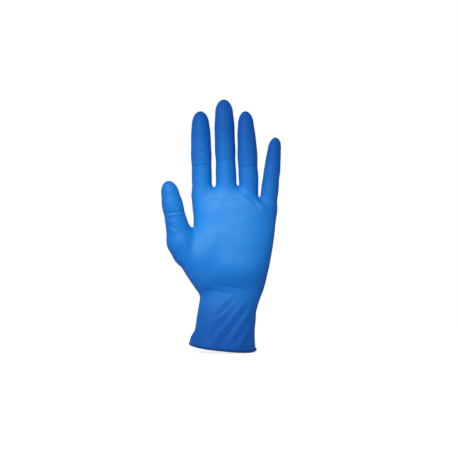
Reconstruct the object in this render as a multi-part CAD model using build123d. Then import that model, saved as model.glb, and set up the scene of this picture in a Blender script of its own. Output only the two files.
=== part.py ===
from build123d import *
import os
from dataclasses import dataclass
from math import cos, radians, sin

# A disposable glove of dipped nitrile film, in the shape that it takes on an open left hand.
# The film is one skin on the real glove. Here it is divided where the hand inside makes it bend,
# so that every region that moves by itself is a hollow shell of its own, open at both ends.
#
# Frame, in millimetres: +Z runs from the cuff to the fingertips, the palm faces -Y and the thumb
# is at -X. The origin is the centre of the cuff's opening, level with the rim's lowest point.

# ---- driving dimensions

FILM = 0.15  # wall of the film
GAP = 0.4  # free space between one moving region and the next
BEAD_RADIUS = 1.1  # rolled rim of the cuff
SPACE = 600.0  # side of a block that is larger than the glove

# Levels at which the sleeve of the glove is divided. The wrist's ring stands a little outside
# the cuff, so that it slides over the cuff's top as the hand bends sideways.
CUFF_TOP = 50.0
WRIST_TOP = 57.9
WRIST_TOP_GAP = 1.0
WRIST_FLARE = 1.0

# The rim of the cuff is tilted: it sits higher on the thumb's side and at the back.
RIM_ROLL = 6.5
RIM_PITCH = 5.0


@dataclass
class Section:
    """A rounded section through the sleeve or the palm."""

    height: float
    left: float
    right: float
    front: float
    back: float
    corner: float
    roll: float = 0.0
    pitch: float = 0.0

    def face(self, inset):
        width = self.right - self.left - 2 * inset
        depth = self.back - self.front - 2 * inset
        centre = ((self.left + self.right) / 2, (self.front + self.back) / 2, self.height)
        place = Location(centre, (self.pitch, self.roll, 0))
        return place * RectangleRounded(width, depth, self.corner - inset)


BODY = [
    Section(5.5, -31.5, 32.0, -24.0, 24.0, 23.0, RIM_ROLL, RIM_PITCH),
    Section(17.0, -28.2, 31.5, -21.4, 21.4, 20.4),
    Section(32.0, -24.3, 32.0, -19.5, 19.5, 18.6),
    Section(46.0, -21.4, 33.6, -19.2, 19.2, 18.2),
    Section(58.0, -20.2, 37.8, -18.6, 18.6, 17.4),
    Section(76.0, -22.5, 43.5, -19.0, 17.0, 16.4),
    Section(98.0, -25.5, 48.0, -17.6, 14.8, 14.6),
    Section(121.0, -26.4, 51.0, -14.2, 13.0, 12.4),
    Section(139.0, -26.2, 51.8, -12.2, 11.8, 10.8, 4.0),
    Section(153.4, -25.5, 51.0, -5.0, 7.6, 5.6, 8.6),
]


@dataclass
class Digit:
    """A finger or the thumb: a straight hollow tube with a rounded tip, from its base pivot."""

    name: str
    root: tuple
    tip: tuple
    profile: list  # (distance from the root, radius), from inside the palm to where the tip's dome begins
    collar: float  # where the palm's film ends
    base_pivot: float
    base_split: float  # where the proximal region begins
    middle_pivot: float
    middle_split: float
    end_pivot: float = 0.0
    end_split: float = 0.0

    def plane(self, distance=0.0):
        """The plane across the digit at that distance from its root, with x across the palm."""
        start = Vector(*self.root)
        along = (Vector(*self.tip) - start).normalized()
        across = (Vector(1, 0, 0) - along * along.X).normalized()
        return Plane(origin=start + along * distance, x_dir=across, z_dir=along)

    def length(self):
        return (Vector(*self.tip) - Vector(*self.root)).length

    def solid(self, inset):
        stations = [(radius - inset, distance) for distance, radius in self.profile]
        shoulder_radius, shoulder = stations[-1]
        apex = (0.0, self.length() - inset)
        foot = (0.0, stations[0][1])
        rise = apex[1] - shoulder
        dome = [
            (shoulder_radius * cos(radians(angle)), shoulder + rise * sin(radians(angle)))
            for angle in (28, 54, 76)
        ]
        side = Spline(*stations, *dome, apex, tangents=((0, 1), (-1, 0)))
        outline = side + Line(apex, foot) + Line(foot, stations[0])
        return self.plane().location * revolve(Plane.XZ * make_face(outline), Axis.Z)


FINGERS = [
    Digit(
        "index",
        (-19.0, 1.0, 156.5),
        (-20.6, -3.5, 229.0),
        [(-20, 4.5), (-8, 8.2), (2, 9.4), (20, 9.4), (34, 9.5), (48, 9.0), (59.5, 8.0)],
        4.5, 8.0, 17.2, 21.5, 31.2, 44.0, 49.5,
    ),
    Digit(
        "middle",
        (4.3, 1.0, 156.5),
        (1.6, -4.0, 240.0),
        [(-20, 4.5), (-8, 8.4), (2, 9.7), (23, 9.4), (40, 9.5), (58, 9.3), (70, 8.5)],
        4.5, 8.0, 17.4, 25.0, 34.8, 52.0, 57.5,
    ),
    Digit(
        "ring",
        (25.8, 1.2, 154.0),
        (22.2, -3.5, 229.0),
        [(-18, 4.5), (-8, 8.0), (2, 9.0), (16, 9.4), (34, 9.1), (50, 8.3), (62, 7.4)],
        6.5, 9.5, 18.6, 23.0, 32.6, 46.5, 52.0,
    ),
    Digit(
        "little",
        (44.6, 1.4, 146.0),
        (51.2, -1.5, 204.0),
        [(-18, 4.0), (-8, 7.4), (2, 8.3), (12, 8.3), (24, 7.9), (36, 7.2), (47, 6.4)],
        4.5, 8.0, 16.2, 19.5, 28.2, 35.5, 40.4,
    ),
]

# The thumb: its base joint, deep in the heel of the hand, and its tube beyond the knuckle.
THUMB_BASE_PIVOT = (-15.0, -4.0, 68.0)
THUMB_BASE_RADIUS = 10.5
THUMB_BASE_SPLIT = 24.0
THUMB_SIDE = -29.2  # the flank of the palm, along which the thumb's film is divided from it
THUMB_FRONT = -19.0  # where the front of the film crosses the flank
THUMB_BACK_RELIEF = 9.0  # the thumb's edge leans away from the flank, so that its back clears it
THUMB = Digit(
    "thumb",
    (-39.0, -10.0, 104.0),
    (-51.2, -17.0, 162.0),
    [(-4, 10.4), (3, 11.4), (12, 11.0), (28, 10.4), (37, 9.8), (45, 9.0)],
    0.0, 10.0, 16.6, 28.8, 36.8,
)
THUMB_KNUCKLE_RADIUS = 12.0


# ---- helpers


def beyond(plane):
    """A block that fills the side of the plane that its normal points to."""
    block = Box(SPACE, SPACE, SPACE, align=(Align.CENTER, Align.CENTER, Align.MIN))
    return plane.location * block


def slab(low, high):
    """What lies between two planes that face the same way, with half a gap left at each."""
    return beyond(low.offset(GAP / 2)) - beyond(high.offset(-GAP / 2))


def level(height):
    return Plane(origin=(0, 0, height), z_dir=(0, 0, 1))


def thumb_base_plane(distance):
    """The plane across the thumb's metacarpal at that distance from its base pivot."""
    start = Vector(*THUMB_BASE_PIVOT)
    along = (Vector(*THUMB.root) - start).normalized()
    return Plane(origin=start + along * distance, z_dir=along)


# ---- the skin of the hand, as an outer and an inner solid


def sleeve_and_palm(inset):
    """Cuff, wrist and palm. The inner solid stops one film below the webs of the fingers."""
    whole = loft([section.face(inset) for section in BODY])
    if inset:
        top = BODY[-1].face(0).faces()[0]
        crown = Plane(origin=top.center(), z_dir=top.normal_at())
        whole = whole - beyond(crown.offset(-inset))
    return whole


def thumb_mound(inset):
    """The thumb's metacarpal, which stands out of the side of the palm."""
    pivot = Vector(*THUMB_BASE_PIVOT)
    reach = (Vector(*THUMB.root) - pivot).length
    cone = Cone(
        THUMB_BASE_RADIUS - inset,
        THUMB_KNUCKLE_RADIUS - inset,
        reach,
        align=(Align.CENTER, Align.CENTER, Align.MIN),
    )
    knuckle = Location(THUMB.root) * Sphere(THUMB_KNUCKLE_RADIUS - inset)
    return thumb_base_plane(0).location * cone + knuckle


def hand(inset):
    """The sleeve, the palm and the root of every digit. An inner solid runs past the outer's ends."""
    overrun = 1.0 if inset else 0.0
    whole = sleeve_and_palm(inset)
    for digit in FINGERS:
        whole += digit.solid(inset) - beyond(digit.plane(digit.collar + overrun - GAP / 2))
    thumb = thumb_mound(inset) + THUMB.solid(inset)
    return whole + (thumb - beyond(THUMB.plane(THUMB.base_split + overrun - GAP / 2)))


def wrist_sleeve(inset):
    """The ring between the cuff and the palm, wider than the cuff at its lower end."""
    lower, upper = [section for section in BODY if section.height in (46.0, 58.0)]
    return loft([lower.face(inset - WRIST_FLARE), upper.face(inset)], ruled=True)


def rim_path():
    """The middle of the film along the cuff's rim."""
    return BODY[0].face(FILM / 2).faces()[0].outer_wire()


def bead():
    """The rolled rim."""
    path = rim_path()
    profile = Plane(origin=path @ 0, z_dir=path % 0) * Circle(BEAD_RADIUS)
    return sweep(profile, path=path)


# ---- the regions of the film


def digit_regions(digit):
    """The hollow regions of one digit beyond the palm, from its root to its tip."""
    shell = digit.solid(0) - digit.solid(FILM)
    cuts = [digit.base_split, digit.middle_split]
    names = ["proximal", "tip"]
    if digit.end_split:
        cuts.append(digit.end_split)
        names = ["proximal", "middle", "tip"]
    if digit.collar:
        cuts.insert(0, digit.collar)
        names.insert(0, "collar")
    cuts.append(digit.length() + 2 * GAP)
    return {
        f"{digit.name}_{name}": shell & slab(digit.plane(low), digit.plane(high))
        for name, low, high in zip(names, cuts, cuts[1:])
    }


def hand_regions():
    """Bead, cuff, wrist, palm and the base of the thumb."""
    film = hand(0) - hand(FILM)
    rim = bead()
    cuff = film & slab(level(-SPACE / 4), level(CUFF_TOP))
    wrist_top = level(WRIST_TOP - WRIST_TOP_GAP / 2 + GAP / 2)
    wrist = (wrist_sleeve(0) - wrist_sleeve(FILM)) & slab(level(CUFF_TOP), wrist_top)
    above_wrist = film & beyond(level(WRIST_TOP + WRIST_TOP_GAP / 2))
    flank = Plane(origin=(THUMB_SIDE, THUMB_FRONT, 0), z_dir=(-1, 0, 0))
    lean = Location((THUMB_SIDE - GAP, THUMB_FRONT, 0), (0, 0, THUMB_BACK_RELIEF))
    thumb_flank = lean * beyond(Plane(origin=(0, 0, 0), z_dir=(-1, 0, 0)))
    thumb_side = beyond(thumb_base_plane(THUMB_BASE_SPLIT)) & beyond(flank)
    thumb_clear = beyond(thumb_base_plane(THUMB_BASE_SPLIT + GAP)) & thumb_flank
    return {
        "cuff_bead": rim,
        "cuff": cuff - rim,
        "wrist": wrist,
        "palm": above_wrist - thumb_side,
        "thumb_base": above_wrist & thumb_clear,
    }


def write(regions):
    os.makedirs("parts", exist_ok=True)
    for name, region in regions.items():
        export_step(region, f"parts/{name}.step")


def main():
    regions = hand_regions()
    for digit in [*FINGERS, THUMB]:
        regions.update(digit_regions(digit))
    write(regions)
    for name, region in regions.items():
        print(f"{name}: {len(region.solids())} solid, {region.volume:.1f} mm3")


main()
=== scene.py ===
"""A disposable nitrile glove on white: one implicit skin, divided where the glove's joints bend it."""

import bmesh
import bpy
import numpy as np
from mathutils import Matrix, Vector, noise


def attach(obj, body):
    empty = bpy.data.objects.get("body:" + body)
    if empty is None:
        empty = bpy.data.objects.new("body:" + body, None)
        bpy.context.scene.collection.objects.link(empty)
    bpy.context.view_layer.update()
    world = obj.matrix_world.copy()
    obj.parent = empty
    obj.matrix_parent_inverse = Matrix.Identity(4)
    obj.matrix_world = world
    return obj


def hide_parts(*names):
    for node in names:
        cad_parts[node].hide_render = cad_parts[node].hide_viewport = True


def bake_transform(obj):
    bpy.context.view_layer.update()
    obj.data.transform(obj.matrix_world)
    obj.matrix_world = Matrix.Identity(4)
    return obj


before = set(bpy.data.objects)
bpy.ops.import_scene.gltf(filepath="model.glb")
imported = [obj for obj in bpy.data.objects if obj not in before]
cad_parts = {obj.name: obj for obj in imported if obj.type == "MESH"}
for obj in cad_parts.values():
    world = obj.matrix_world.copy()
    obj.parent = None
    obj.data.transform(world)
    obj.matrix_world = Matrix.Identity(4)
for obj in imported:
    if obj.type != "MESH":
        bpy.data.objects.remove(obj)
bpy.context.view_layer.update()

MM = 0.001
FILM = 0.2  # mm, from the outer to the inner skin
CELL = 1.7  # mm, grid of the first surface
GRID = np.array([(-70.0, -36.0, -9.0), (68.0, 34.0, 246.0)])  # mm, two corners of that grid
BEAD = 1.1  # mm, radius of the rolled rim

# ---- the form of the gloved hand, in mm; z rises from the rim, the palm faces -y

# height, left, right, front and back of the sleeve and the palm, whose sections are superellipses
SLEEVE = np.array([
    (-12.0, -36.0, 31.0, -24.6, 25.2),
    (5.5, -31.5, 31.4, -23.6, 24.0),
    (17.0, -28.0, 31.0, -21.2, 21.2),
    (32.0, -24.3, 31.6, -18.6, 19.2),
    (46.0, -21.6, 34.6, -16.2, 18.6),
    (58.0, -20.6, 39.3, -15.2, 18.2),
    (76.0, -22.5, 43.8, -21.0, 16.8),
    (98.0, -25.6, 48.0, -19.4, 14.8),
    (121.0, -27.0, 50.8, -16.0, 13.0),
    (139.0, -27.0, 51.2, -13.2, 11.6),
    (153.0, -26.0, 50.0, -8.8, 10.0),
    (170.0, -26.0, 49.0, -7.4, 9.4),
])
ROUNDNESS = 2.5  # exponent of the superellipses
# across the hand, where the film between the fingers ends: x, height
CROWN = np.array([
    (-30.0, 154.5), (-10.0, 156.0), (16.0, 156.0), (26.0, 150.5), (35.0, 145.5), (52.0, 141.5),
])
CROWN_STEEPNESS = 0.9  # how fast the field rises above the crown
RIM_CENTRE = Vector((0.25, 0.0, 5.5))
RIM_SLOPE_X, RIM_SLOPE_Y = -0.1, 0.0875  # rise of the rim for each mm of x and of y

# root, tip, (distance, radius) up to the tip's dome
DIGITS = {
    "index": (
        (-19.0, 1.0, 156.5), (-20.6, -3.5, 229.0),
        [(-20, 7.0), (-6, 8.8), (4, 9.3), (13, 9.5), (20, 9.4), (30, 9.9), (42, 9.55), (50, 9.25),
         (59.5, 8.3)],
    ),
    "middle": (
        (4.3, 1.0, 156.5), (1.6, -4.0, 240.0),
        [(-20, 7.0), (-6, 8.8), (4, 9.7), (14, 9.7), (24, 9.4), (36, 9.9), (51, 9.5), (60, 9.45),
         (70, 8.6)],
    ),
    "ring": (
        (25.8, 1.2, 154.0), (22.2, -3.5, 229.0),
        [(-20, 7.0), (-6, 8.4), (4, 9.1), (14, 9.4), (22, 9.2), (33, 9.6), (46, 8.95), (53, 8.6),
         (62, 7.6)],
    ),
    "little": (
        (44.6, 1.4, 146.0), (51.2, -1.5, 204.0),
        [(-20, 6.0), (-6, 7.6), (4, 8.3), (12, 8.3), (19, 7.9), (27, 7.8), (35, 7.2), (41, 6.9),
         (47.4, 6.2)],
    ),
    "thumb": (
        (-39.0, -10.0, 104.0), (-51.2, -17.0, 162.0),
        [(-12, 9.0), (0, 11.6), (10, 11.2), (20, 10.5), (28, 9.9), (34, 10.1), (40, 9.7), (46, 8.6)],
    ),
}
FINGERS = ["index", "middle", "ring", "little"]
THUMB_HEEL, THUMB_HEEL_RADIUS, KNUCKLE_RADIUS = (-15.0, -3.5, 70.0), 12.0, 12.3
THUMB_BALL, THUMB_BALL_RADII = (-17, -8, 90), (18, 12.5, 25)
# mm over which two forms run into each other
CROWN_BLEND, HEEL_BLEND, BALL_BLEND, DIGIT_BLEND = 7.0, 9.0, 6.0, 5.0


def along(name):
    root, tip, _ = DIGITS[name]
    return np.array(tip) - np.array(root)


def distance_along(points, name):
    """How far up a digit each point lies, and how far from its axis."""
    axis = along(name)
    direction = axis / np.linalg.norm(axis)
    offset = points - np.array(DIGITS[name][0])
    s = offset @ direction
    return s, np.linalg.norm(offset - s[..., None] * direction, axis=-1)


def curve_through(x, knots, values):
    """A smooth curve through the knots, flat beyond the first and the last."""
    slopes = np.gradient(values, knots)
    x = np.clip(x, knots[0], knots[-1])
    i = np.clip(np.searchsorted(knots, x) - 1, 0, len(knots) - 2)
    span = knots[i + 1] - knots[i]
    t = (x - knots[i]) / span
    rise = values[i + 1] - values[i]
    a, b = slopes[i] * span - rise, rise - slopes[i + 1] * span
    return values[i] + t * rise + t * (1 - t) * ((1 - t) * a + t * b)


def soft_min(a, b, reach):
    h = np.clip(0.5 + 0.5 * (b - a) / reach, 0, 1)
    return b + (a - b) * h - reach * h * (1 - h)


def sleeve_field(points):
    x, y, z = points[..., 0], points[..., 1], points[..., 2]
    left, right, front, back = (curve_through(z, SLEEVE[:, 0], SLEEVE[:, k]) for k in range(1, 5))
    across = np.abs(x - (left + right) / 2) / ((right - left) / 2)
    depth = (back - front) / 2
    through = np.abs(y - (front + back) / 2) / depth
    wall = ((across**ROUNDNESS + through**ROUNDNESS) ** (1 / ROUNDNESS) - 1) * depth
    crown = (z - curve_through(x, CROWN[:, 0], CROWN[:, 1])) * CROWN_STEEPNESS
    return -soft_min(-wall, -crown, CROWN_BLEND)


def digit_field(points, name):
    s, rho = distance_along(points, name)
    profile = np.array(DIGITS[name][2], float)
    shoulder, width = profile[-1]
    rise = np.linalg.norm(along(name)) - shoulder
    tube = rho - curve_through(s, profile[:, 0], profile[:, 1])
    below = profile[0, 0] - s
    tube = np.where(below > 0, np.hypot(rho, below) - profile[0, 1], tube)
    dome = (np.sqrt((rho / width) ** 2 + (np.maximum(s - shoulder, 0) / rise) ** 2) - 1) * width
    return np.where(s > shoulder, dome, tube)


def capsule_field(points, a, b, radius_a, radius_b):
    a, b = np.array(a), np.array(b)
    t = np.clip(((points - a) @ (b - a)) / ((b - a) @ (b - a)), 0, 1)
    radius = radius_a + t * (radius_b - radius_a)
    return np.linalg.norm(points - a - t[..., None] * (b - a), axis=-1) - radius


def ellipsoid_field(points, centre, radii):
    k = np.linalg.norm((points - np.array(centre)) / np.array(radii), axis=-1)
    return (k - 1) * min(radii)


def glove_field(points):
    """Below zero inside the gloved hand."""
    knuckle = DIGITS["thumb"][0]
    metacarpal = capsule_field(points, THUMB_HEEL, knuckle, THUMB_HEEL_RADIUS, KNUCKLE_RADIUS)
    palm = soft_min(sleeve_field(points), metacarpal, HEEL_BLEND)
    palm = soft_min(palm, ellipsoid_field(points, THUMB_BALL, THUMB_BALL_RADII), BALL_BLEND)
    palm = soft_min(palm, digit_field(points, "thumb"), DIGIT_BLEND)
    whole = palm
    for name in FINGERS:
        whole = np.minimum(whole, soft_min(palm, digit_field(points, name), DIGIT_BLEND))
    return whole


# ---- the surface of that form


def surface_net(low, high):
    """Quads round the zero of the field, one vertex in each cell that it crosses."""
    counts = np.ceil((high - low) / CELL).astype(int)
    axes = [low[k] + CELL * np.arange(counts[k] + 1) for k in range(3)]
    field = glove_field(np.stack(np.meshgrid(*axes, indexing="ij"), -1))
    inside = field < 0
    total = np.zeros((*counts, 3))
    hits = np.zeros(counts)
    cells = [slice(0, -1), slice(1, None)]
    for axis in range(3):
        others = [k for k in range(3) if k != axis]
        for u in range(2):
            for v in range(2):
                pick = [None] * 3
                pick[others[0]], pick[others[1]] = cells[u], cells[v]
                pick[axis] = cells[0]
                f0 = field[tuple(pick)]
                pick[axis] = cells[1]
                f1 = field[tuple(pick)]
                cross = (f0 < 0) != (f1 < 0)
                t = np.where(cross, f0 / np.where(cross, f0 - f1, 1), 0)
                place = np.zeros((*counts, 3))
                place[..., axis] = t
                place[..., others[0]], place[..., others[1]] = u, v
                total += place * cross[..., None]
                hits += cross
    filled = hits > 0
    number = np.full(counts, -1)
    number[filled] = np.arange(filled.sum())
    corner = np.argwhere(filled)
    points = low + CELL * (corner + total[filled] / hits[filled][:, None])
    quads = []
    for axis in range(3):
        b, c = (axis + 1) % 3, (axis + 2) % 3
        first = [slice(1, counts[k]) for k in range(3)]
        first[axis] = slice(0, counts[axis])
        second = list(first)
        second[axis] = slice(1, counts[axis] + 1)
        start, end = inside[tuple(first)], inside[tuple(second)]
        edges = np.argwhere(start != end) + [0 if k == axis else 1 for k in range(3)]
        forward = start[start != end]
        step_b, step_c = np.eye(3, dtype=int)[b], np.eye(3, dtype=int)[c]
        ring = [edges - step_b - step_c, edges - step_c, edges, edges - step_b]
        quad = np.stack([number[tuple(cell.T)] for cell in ring], 1)
        quad[~forward] = quad[~forward][:, ::-1]
        quads.append(quad)
    return points, np.concatenate(quads)


def gradient(points):
    step = 0.05
    slopes = [glove_field(points + step * e) - glove_field(points - step * e) for e in np.eye(3)]
    return np.stack(slopes, -1) / (2 * step)


def settle(points, rounds):
    """Moves the points on to the zero of the field, with short steps where the field is nearly flat."""
    flattest = 0.06
    for _ in range(rounds):
        slope = gradient(points)
        step = glove_field(points) / np.maximum((slope**2).sum(-1), flattest)
        points = points - step[:, None] * slope
    return points


def mesh_object(name, points, faces):
    """Points in mm, to a mesh in metres."""
    mesh = bpy.data.meshes.new(name)
    mesh.from_pydata((np.asarray(points) * MM).tolist(), [], [[int(i) for i in face] for face in faces])
    mesh.validate()
    mesh.shade_smooth()
    made = bpy.data.objects.new(name, mesh)
    bpy.context.scene.collection.objects.link(made)
    return made


def smoothed_skin():
    """The whole outer skin, relaxed, refined once and cut off at the rim."""
    points, quads = surface_net(*GRID)
    points = settle(points, 3)
    rough = mesh_object("skin", points, quads)
    relax = rough.modifiers.new("relax", "SMOOTH")
    relax.factor, relax.iterations = 0.5, 6
    refine = rough.modifiers.new("refine", "SUBSURF")
    refine.levels = refine.render_levels = 1
    graph = bpy.context.evaluated_depsgraph_get()
    fine = bpy.data.meshes.new_from_object(rough.evaluated_get(graph))
    bpy.data.objects.remove(rough)
    cut = bmesh.new()
    cut.from_mesh(fine)
    for vertex in cut.verts:
        vertex.co /= MM
    positions = settle(np.array([v.co for v in cut.verts]), 2)
    for vertex, place in zip(cut.verts, positions):
        vertex.co = place
    normal = Vector((-RIM_SLOPE_X, -RIM_SLOPE_Y, 1.0))
    everything = cut.verts[:] + cut.edges[:] + cut.faces[:]
    bmesh.ops.bisect_plane(
        cut, geom=everything, dist=0.05, plane_co=RIM_CENTRE, plane_no=normal, clear_inner=True
    )
    cut.normal_update()
    points = np.array([v.co for v in cut.verts])
    normals = np.array([v.normal for v in cut.verts])
    cut.verts.index_update()
    faces = [[v.index for v in face.verts] for face in cut.faces]
    cut.free()
    return points, normals, faces


# ---- creases and folds in the film, in mm: (start, end, half-width, height), below zero for a groove

CREASES = [
    # diagonal folds down the front of the cuff
    ((-22, -18, 15), (1, -19, 37), 1.9, 0.75), ((-15, -20, 12), (11, -19, 40), 1.6, -0.8),
    ((-9, -21, 10), (22, -17, 49), 1.8, 1.0), ((-2, -22, 9), (26, -16, 45), 1.5, -0.9),
    ((4, -22, 8), (29, -16, 42), 1.8, 0.9), ((10, -22, 7), (31, -15, 35), 1.5, -0.8),
    ((15, -21, 4), (27, -18, 24), 1.6, 0.8), ((-12, -18, 34), (6, -18, 52), 1.8, 0.5),
    ((-6, -18, 33), (14, -17, 53), 1.6, -0.45), ((-24, -14, 24), (-12, -17, 42), 1.8, -0.4),
    # folds at the sides of the cuff
    ((-29, -8, 14), (-25, 6, 20), 1.6, 1.3), ((-27, -6, 20), (-24, 6, 26), 1.6, -0.8),
    ((31, -8, 13), (31, 6, 17), 1.6, 1.4), ((31, -8, 19), (31, 6, 22), 1.5, -0.8),
    # folds at the back of the cuff
    ((-14, 22, 8), (6, 19, 44), 2.2, 0.5), ((6, 22, 8), (22, 18, 40), 2.0, -0.45),
    ((18, 21, 6), (30, 16, 34), 2.0, 0.5),
    # the wrist and the heel of the hand
    ((-18, -12, 60), (10, -18, 56), 2.2, -0.6), ((-8, -18, 64), (24, -18, 60), 2.0, -0.45),
    ((-16, 12, 60), (30, 15, 60), 2.2, 0.3), ((-17, 12, 65), (34, 14, 66), 2.0, -0.25),
    # the thumb: the crease of its joint, and fine wrinkles below it
    ((-54, -22, 131.5), (-36, -22, 133.5), 0.75, -0.9), ((-54, -22, 129), (-37, -22, 131), 0.8, 0.5),
    ((-53, -20, 125), (-42, -22, 123), 0.8, 0.5), ((-52, -20, 121), (-43, -22, 117), 0.8, -0.5),
    ((-50, -20, 118), (-42, -22, 113), 0.9, 0.5), ((-52, -18, 113), (-44, -21, 107), 1.0, -0.45),
    # the index finger
    ((-29, -8, 176), (-12, -8, 177.5), 0.9, -0.4), ((-27, -9, 179), (-13, -9, 180), 0.9, 0.22),
    ((-27, -11, 201), (-14, -11, 203), 0.9, -0.45), ((-28, -10, 206), (-15, -11, 209), 0.8, 0.35),
    ((-28, -10, 191), (-15, -11, 195), 0.8, 0.35), ((-28, -11, 187), (-16, -11, 190), 0.8, -0.35),
    # the middle, ring and little fingers
    ((-6, -9, 181), (12, -9, 181.5), 0.9, -0.25), ((-6, -12, 209), (10, -12, 209.5), 0.8, -0.2),
    ((16, -9, 175), (34, -9, 176.5), 0.9, -0.4), ((16, -9, 178), (33, -9, 179.5), 0.9, 0.25),
    ((15, -11, 201), (32, -11, 201.5), 0.8, -0.2), ((39, -7, 165), (56, -7, 164), 0.9, -0.25),
    ((42, -9, 182), (56, -9, 181), 0.8, -0.2),
    # below the webs
    ((25, -11, 149), (36, -13, 136), 1.4, -0.45), ((31, -11, 146), (40, -13, 134), 1.4, 0.35),
    ((18, -12, 150), (28, -14, 140), 1.5, 0.3), ((-6, -12, 152), (4, -15, 138), 1.6, -0.25),
    # the web of the thumb
    ((-32, -16, 110), (-25, -18, 97), 1.8, -0.4), ((-36, -18, 106), (-28, -20, 92), 1.6, 0.3),
    # the knuckles and the back of the hand
    ((-26, 9, 168), (-12, 9, 168), 1.6, 0.3), ((-25, 8, 177), (-13, 8, 177), 1.0, -0.3),
    ((-4, 9, 180), (11, 9, 180), 1.2, -0.3), ((17, 9, 177), (32, 9, 177), 1.2, -0.3),
    ((40, 9, 166), (54, 9, 165), 1.0, -0.3),
]
# a crease keeps its height this far from its middle, and fades over that, as shares of its length
CREASE_CORE, CREASE_TAIL = 0.25, 0.22
CREASE_REACH = 7.5  # mm of y, over which a crease fades away behind its line
COARSE_SIZE, COARSE = 17.0, 0.28  # mm: size and height of the film's broad unevenness
FINE_SIZE, FINE, FINE_SHIFT = 6.0, 0.07, (9, 4, 2)  # the same for the fine one, and where it starts
# mm: the cuff is slack below that height, more so over that distance, by that much
SLACK_TOP, SLACK_FADE, SLACK = 52.0, 30.0, 0.8


def displacement(points):
    """Height of the creases and of the film's slight unevenness, in mm."""
    height = np.zeros(len(points))
    for start, end, width, rise in CREASES:
        start, end = np.array(start, float), np.array(end, float)
        run = end - start
        t = ((points - start) @ run) / (run @ run)
        near = start + np.clip(t, 0, 1)[:, None] * run
        sideways = np.cross(run / np.linalg.norm(run), [0, 1, 0])
        offset = points - near
        across = offset @ (sideways / np.linalg.norm(sideways))
        depth = np.abs(offset[:, 1])
        past_core = np.maximum(0, np.abs(t - 0.5) - CREASE_CORE)
        fade = np.exp(-((past_core / CREASE_TAIL) ** 2)) * np.exp(-((depth / CREASE_REACH) ** 4))
        height += rise * np.exp(-((across / width) ** 2)) * fade
    uneven = np.array([
        noise.noise(Vector(p) / COARSE_SIZE) * COARSE
        + noise.noise(Vector(p) / FINE_SIZE + Vector(FINE_SHIFT)) * FINE
        for p in points
    ])
    cuff = np.clip((SLACK_TOP - points[:, 2]) / SLACK_FADE, 0, 1)
    slack = np.array([
        noise.noise(Vector((p[0] / 9 - p[2] / 15, p[1] / 12, p[2] / 34 + 3))) for p in points
    ])
    return height + uneven + slack * cuff * SLACK


# ---- division of the skin: each piece lies between two bodies, and its edges lie where the film doesn't bend

# the pieces of each digit, in mm from its root: (top edge, band start, band end, body at the top)
DIGIT_BANDS = {
    "index": [
        (6.9, 4.1, 6.0, "index_collar"), (15.4, 7.8, 14.5, "index_proximal"),
        (33.0, 16.3, 29.0, "index_middle"), (None, 37.0, 51.0, "index_tip"),
    ],
    "middle": [
        (14.4, 4.1, 13.4, "middle_proximal"), (39.0, 15.4, 34.5, "middle_middle"),
        (None, 45.0, 59.0, "middle_tip"),
    ],
    "ring": [
        (9.3, 6.9, 8.4, "ring_collar"), (17.1, 10.2, 16.2, "ring_proximal"),
        (34.5, 18.0, 30.0, "ring_middle"), (None, 39.5, 53.5, "ring_tip"),
    ],
    "little": [
        (7.3, 4.9, 6.4, "little_collar"), (13.9, 8.2, 13.0, "little_proximal"),
        (27.0, 14.8, 25.0, "little_middle"), (None, 29.5, 41.5, "little_tip"),
    ],
    "thumb": [(26.8, 15.5, 25.9, "thumb_proximal"), (None, 27.7, 38.5, "thumb_tip")],
}
FIRST_EDGE = {"index": 3.2, "middle": 3.2, "ring": 6.0, "little": 4.0, "thumb": 14.6}
ROOT_BODY = {"thumb": "thumb_base"}  # the body below a digit's first piece, where it isn't the palm
NO_EDGE = 999.0  # mm, beyond every tip
REACH = 14.5  # mm from a digit's axis, within which the film belongs to it
ROOT_DEPTH = 8.0  # mm below a digit's root, from where it holds off its neighbours
SLEEVE_BANDS = [  # (top edge, band start, band end, lower body, upper body)
    (29.0, None, None, "cuff", None),
    (45.2, 31.0, 44.2, "cuff", "wrist"),
    (66.0, 46.4, 65.0, "wrist", "palm"),
]


def piece_plan():
    """The pieces of the digits' skin: name, digit, lower and upper edge, bodies, bending ends."""
    plan = []
    for name, bands in DIGIT_BANDS.items():
        low, body = FIRST_EDGE[name], ROOT_BODY.get(name, "palm")
        root = np.array(DIGITS[name][0])
        direction = along(name) / np.linalg.norm(along(name))
        for high, start, end, following in bands:
            ends = (root + start * direction, root + end * direction)
            plan.append((f"{following}_skin", name, low, high or NO_EDGE, body, following, ends))
            low, body = high, following
    return plan


def owner_of_faces(centres):
    """The plan, and the index of each face's piece: in the plan's order, then sleeve, then palm."""
    plan = piece_plan()
    owner = np.full(len(centres), len(plan) + len(SLEEVE_BANDS))
    for k, band in reversed(list(enumerate(SLEEVE_BANDS))):
        owner[centres[:, 2] < band[0]] = len(plan) + k
    sleeve_owner = owner.copy()
    nearest = np.full(len(centres), REACH)
    for name in DIGITS:
        s, rho = distance_along(centres, name)
        mine = (s > -ROOT_DEPTH) & (rho < nearest)
        nearest[mine] = rho[mine]
        owner[mine] = sleeve_owner[mine]
        for k, (_, digit, low, high, *_rest) in enumerate(plan):
            if digit == name:
                owner[mine & (s >= low) & (s < high)] = k
    return plan, owner


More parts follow.
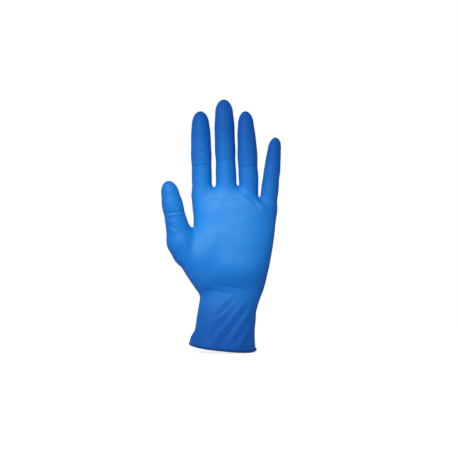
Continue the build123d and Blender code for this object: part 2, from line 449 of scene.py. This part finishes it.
def film_piece(name, points, normals, faces):
    """A closed film: the outer skin, the inner skin, and a strip along every open edge."""
    used = np.unique(np.concatenate([np.array(f) for f in faces]))
    renumber = np.full(len(points), -1)
    renumber[used] = np.arange(len(used))
    outer = [[int(renumber[i]) for i in f] for f in faces]
    count = len(used)
    inner = [[i + count for i in reversed(f)] for f in outer]
    directed = {(f[k], f[(k + 1) % len(f)]) for f in outer for k in range(len(f))}
    strip = [[b, a, a + count, b + count] for a, b in directed if (b, a) not in directed]
    skin = points[used]
    both = np.concatenate([skin, skin - FILM * normals[used]])
    piece = mesh_object(name, both, outer + inner + strip)
    facing = np.concatenate([normals[used], -normals[used]])
    piece.data.normals_split_custom_set_from_vertices(facing.tolist())
    return piece


def vertex_normals(points, faces):
    """Unit normals of the displaced skin, weighted by the faces' areas."""
    total = np.zeros_like(points)
    for size in {len(f) for f in faces}:
        index = np.array([f for f in faces if len(f) == size])
        corners = points[index]
        following = np.roll(corners, -1, axis=1)
        area = np.cross(corners, following).sum(1)
        for k in range(size):
            np.add.at(total, index[:, k], area)
    return total / np.maximum(np.linalg.norm(total, axis=1), 1e-9)[:, None]


def build_skin():
    """Every piece of the film; only the lowest one, the cuff's, is attached to its body."""
    points, normals, faces = smoothed_skin()
    points = points + displacement(points)[:, None] * normals
    normals = vertex_normals(points, faces)
    centres = np.array([points[f].mean(0) for f in faces])
    plan, owner = owner_of_faces(centres)
    made = []

    def piece(name, k):
        made.append(film_piece(name, points, normals, [faces[i] for i in np.flatnonzero(owner == k)]))
        return made[-1]

    for k, (name, _, _, _, body, following, (start, end)) in enumerate(plan):
        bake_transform(piece(name, k))
        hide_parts(following)
    cuff_names = ("cuff_skin", "cuff_top_skin", "wrist_skin")
    for k, (name, band) in enumerate(zip(cuff_names, SLEEVE_BANDS)):
        _, start, end, body, following = band
        if following:
            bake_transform(piece(name, len(plan) + k))
        else:
            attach(piece(name, len(plan) + k), body)
            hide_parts("cuff")
    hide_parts("wrist")
    palm = piece("palm_skin", len(plan) + len(SLEEVE_BANDS))
    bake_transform(palm)
    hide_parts("palm", "middle_collar", "thumb_base")
    return made


# ---- the rolled rim

BEAD_FOLLOW = 0.9  # share of the film's unevenness that the rim takes up
SWELL = 0.1, 7  # unevenness of the rim's thickness: share of its radius, size in mm
RIPPLE = 0.05, 2.2  # the same, finer
ROLL_EDGE, ROLL_EDGE_WIDTH, ROLL_EDGE_DEPTH = 2.5, 0.25, 0.16  # radians, radians, share of the radius


def build_bead():
    """The rim, rolled on itself: a slightly wavy tube, with the roll's edge as a groove inside."""
    around, section, halvings, widest = 300, 20, 30, 60.0
    angles = np.linspace(0, 2 * np.pi, around, endpoint=False)
    out = np.stack([np.cos(angles), np.sin(angles), np.zeros(around)], -1)
    out[:, 2] = RIM_SLOPE_X * out[:, 0] + RIM_SLOPE_Y * out[:, 1]
    low, high = np.zeros(around), np.full(around, widest)
    centre = np.array(RIM_CENTRE)
    for _ in range(halvings):
        middle = (low + high) / 2
        inside = glove_field(centre + middle[:, None] * out) < 0
        low, high = np.where(inside, middle, low), np.where(inside, high, middle)
    path = centre + low[:, None] * out
    path += displacement(path)[:, None] * out * BEAD_FOLLOW
    tangent = np.roll(path, -1, 0) - np.roll(path, 1, 0)
    tangent /= np.linalg.norm(tangent, axis=1)[:, None]
    side = np.cross(tangent, [0, 0, 1])
    side /= np.linalg.norm(side, axis=1)[:, None]
    up = np.cross(side, tangent)
    points, faces = [], []
    for i in range(around):
        swell = 1
        for share, size in (SWELL, RIPPLE):
            swell += share * noise.noise(Vector(path[i]) / size)
        for j in range(section):
            turn = 2 * np.pi * j / section
            from_edge = (turn - ROLL_EDGE + np.pi) % (2 * np.pi) - np.pi
            groove = 1 - ROLL_EDGE_DEPTH * np.exp(-((from_edge / ROLL_EDGE_WIDTH) ** 2))
            radius = BEAD * swell * groove
            points.append(path[i] + radius * (np.cos(turn) * side[i] + np.sin(turn) * up[i]))
            a, b = i * section, ((i + 1) % around) * section
            faces.append([a + j, b + j, b + (j + 1) % section, a + (j + 1) % section])
    bead = mesh_object("cuff_rolled_rim", points, faces)
    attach(bead, "cuff")
    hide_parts("cuff_bead")
    return bead


# ---- material


def nitrile(name, colour, deep_colour, roughness):
    """Satin nitrile: dipped film with a faint mottle, a fine grain and soft ripples."""
    material = bpy.data.materials.new(name)
    material.use_nodes = True
    nodes, links = material.node_tree.nodes, material.node_tree.links
    shader = nodes["Principled BSDF"]
    shader.inputs["Specular IOR Level"].default_value = 0.22
    shader.inputs["IOR"].default_value = 1.5
    shader.inputs["Sheen Weight"].default_value = 0.0
    shader.inputs["Subsurface Weight"].default_value = 0.06
    shader.inputs["Subsurface Radius"].default_value = (0.2, 0.5, 1.0)
    shader.inputs["Subsurface Scale"].default_value = 0.002
    place = nodes.new("ShaderNodeTexCoord")

    def mottle(scale, detail, low, high):
        texture = nodes.new("ShaderNodeTexNoise")
        texture.inputs["Scale"].default_value = scale
        texture.inputs["Detail"].default_value = detail
        spread = nodes.new("ShaderNodeMapRange")
        spread.inputs["From Min"].default_value = 0.3
        spread.inputs["From Max"].default_value = 0.7
        spread.inputs["To Min"].default_value = low
        spread.inputs["To Max"].default_value = high
        links.new(place.outputs["Object"], texture.inputs["Vector"])
        links.new(texture.outputs["Fac"], spread.inputs["Value"])
        return spread.outputs["Result"]

    def bump(height, strength, distance, before=None):
        node = nodes.new("ShaderNodeBump")
        node.inputs["Strength"].default_value = strength
        node.inputs["Distance"].default_value = distance
        links.new(height, node.inputs["Height"])
        if before:
            links.new(before.outputs["Normal"], node.inputs["Normal"])
        return node

    tint = nodes.new("ShaderNodeMix")
    tint.data_type = "RGBA"
    tint.inputs["A"].default_value = (*deep_colour, 1)
    tint.inputs["B"].default_value = (*colour, 1)
    links.new(mottle(38.0, 3.0, 0.25, 1.0), tint.inputs["Factor"])
    links.new(tint.outputs["Result"], shader.inputs["Base Color"])
    links.new(mottle(140.0, 4.0, roughness - 0.05, roughness + 0.06), shader.inputs["Roughness"])
    ripples = bump(mottle(170.0, 3.0, 0.0, 1.0), 0.16, 0.0004)
    grain = bump(mottle(2300.0, 2.0, 0.0, 1.0), 0.10, 0.00008, ripples)
    links.new(grain.outputs["Normal"], shader.inputs["Normal"])
    return material


# ---- stage


def seen_only(nodes, links, seen, cast):
    """A strength that is one value to the camera and another to everything that it lights."""
    path = nodes.new("ShaderNodeLightPath")
    strength = nodes.new("ShaderNodeMapRange")
    strength.inputs["To Min"].default_value = cast
    strength.inputs["To Max"].default_value = seen
    links.new(path.outputs["Is Camera Ray"], strength.inputs["Value"])
    return strength.outputs["Result"]


def pale_material(name, brightness, glow):
    """A pale, matt surface with a glow that only the camera sees, so that it looks even."""
    material = bpy.data.materials.new(name)
    material.use_nodes = True
    nodes, links = material.node_tree.nodes, material.node_tree.links
    inputs = nodes["Principled BSDF"].inputs
    inputs["Base Color"].default_value = (brightness, brightness, brightness, 1)
    inputs["Roughness"].default_value = 0.9
    inputs["Emission Color"].default_value = (1, 1, 1, 1)
    links.new(seen_only(nodes, links, glow, 0.0), inputs["Emission Strength"])
    return material


def hang(light, place, aim):
    """Puts a light in its place, pointing at its aim."""
    lamp = bpy.data.objects.new(light.name, light)
    lamp.location = place
    lamp.rotation_euler = (Vector(aim) - Vector(place)).to_track_quat("-Z", "Y").to_euler()
    bpy.context.scene.collection.objects.link(lamp)


def area_light(name, place, aim, size, power):
    light = bpy.data.lights.new(name, "AREA")
    light.shape, light.size, light.energy = "DISK", size, power
    hang(light, place, aim)


def spot_light(name, place, aim, cone, power, colour):
    light = bpy.data.lights.new(name, "SPOT")
    light.spot_size, light.spot_blend, light.shadow_soft_size = np.radians(cone), 1.0, 0.03
    light.energy, light.color = power, colour
    hang(light, place, aim)


def white_world(seen, cast):
    """A background that shows white and lights the glove less strongly."""
    world = bpy.data.worlds.new("studio")
    bpy.context.scene.world = world
    world.use_nodes = True
    nodes, links = world.node_tree.nodes, world.node_tree.links
    links.new(seen_only(nodes, links, seen, cast), nodes["Background"].inputs["Strength"])
    nodes["Background"].inputs["Color"].default_value = (1, 1, 1, 1)


def build_stage():
    corners = [(-600, -700, 0), (600, -700, 0), (600, 350, 0), (-600, 350, 0)]
    floor = mesh_object("floor", corners, [[0, 1, 2, 3]])
    floor.data.materials.append(pale_material("pale_floor", 0.9, 0.8))
    palm = (0.008, -0.018, 0.112)
    area_light("key", (-0.32, -0.55, 0.42), palm, 0.4, 1.6)
    spot_light("pool", (-0.14, -0.70, 0.58), (-0.005, -0.018, 0.124), 11.3, 33.0, (1.0, 1.0, 0.5))
    area_light("fill", (0.75, -0.9, 0.25), palm, 0.7, 0.4)
    area_light("back", (-0.4, 0.9, 0.6), palm, 0.7, 2.0)
    white_world(1.0, 0.26)
    bpy.context.scene.view_settings.view_transform = "Standard"


def build_camera():
    camera = bpy.data.cameras.new("camera")
    camera.sensor_width = 36.0
    distance, view_width = 1.4, 0.436
    camera.lens = camera.sensor_width * distance / view_width
    eye = bpy.data.objects.new("camera", camera)
    eye.location = (0.0067, -distance, 0.117)
    eye.rotation_euler = (np.pi / 2, 0, 0)
    bpy.context.scene.collection.objects.link(eye)
    bpy.context.scene.camera = eye


build_camera()
build_stage()
skin_pieces = build_skin()
rim = build_bead()
film_material = nitrile("nitrile_satin", (0.006, 0.165, 0.74), (0.005, 0.145, 0.68), 0.56)
for skin_piece in skin_pieces:
    skin_piece.data.materials.append(film_material)
rim.data.materials.append(nitrile("nitrile_rolled", (0.008, 0.11, 0.40), (0.006, 0.09, 0.34), 0.45))
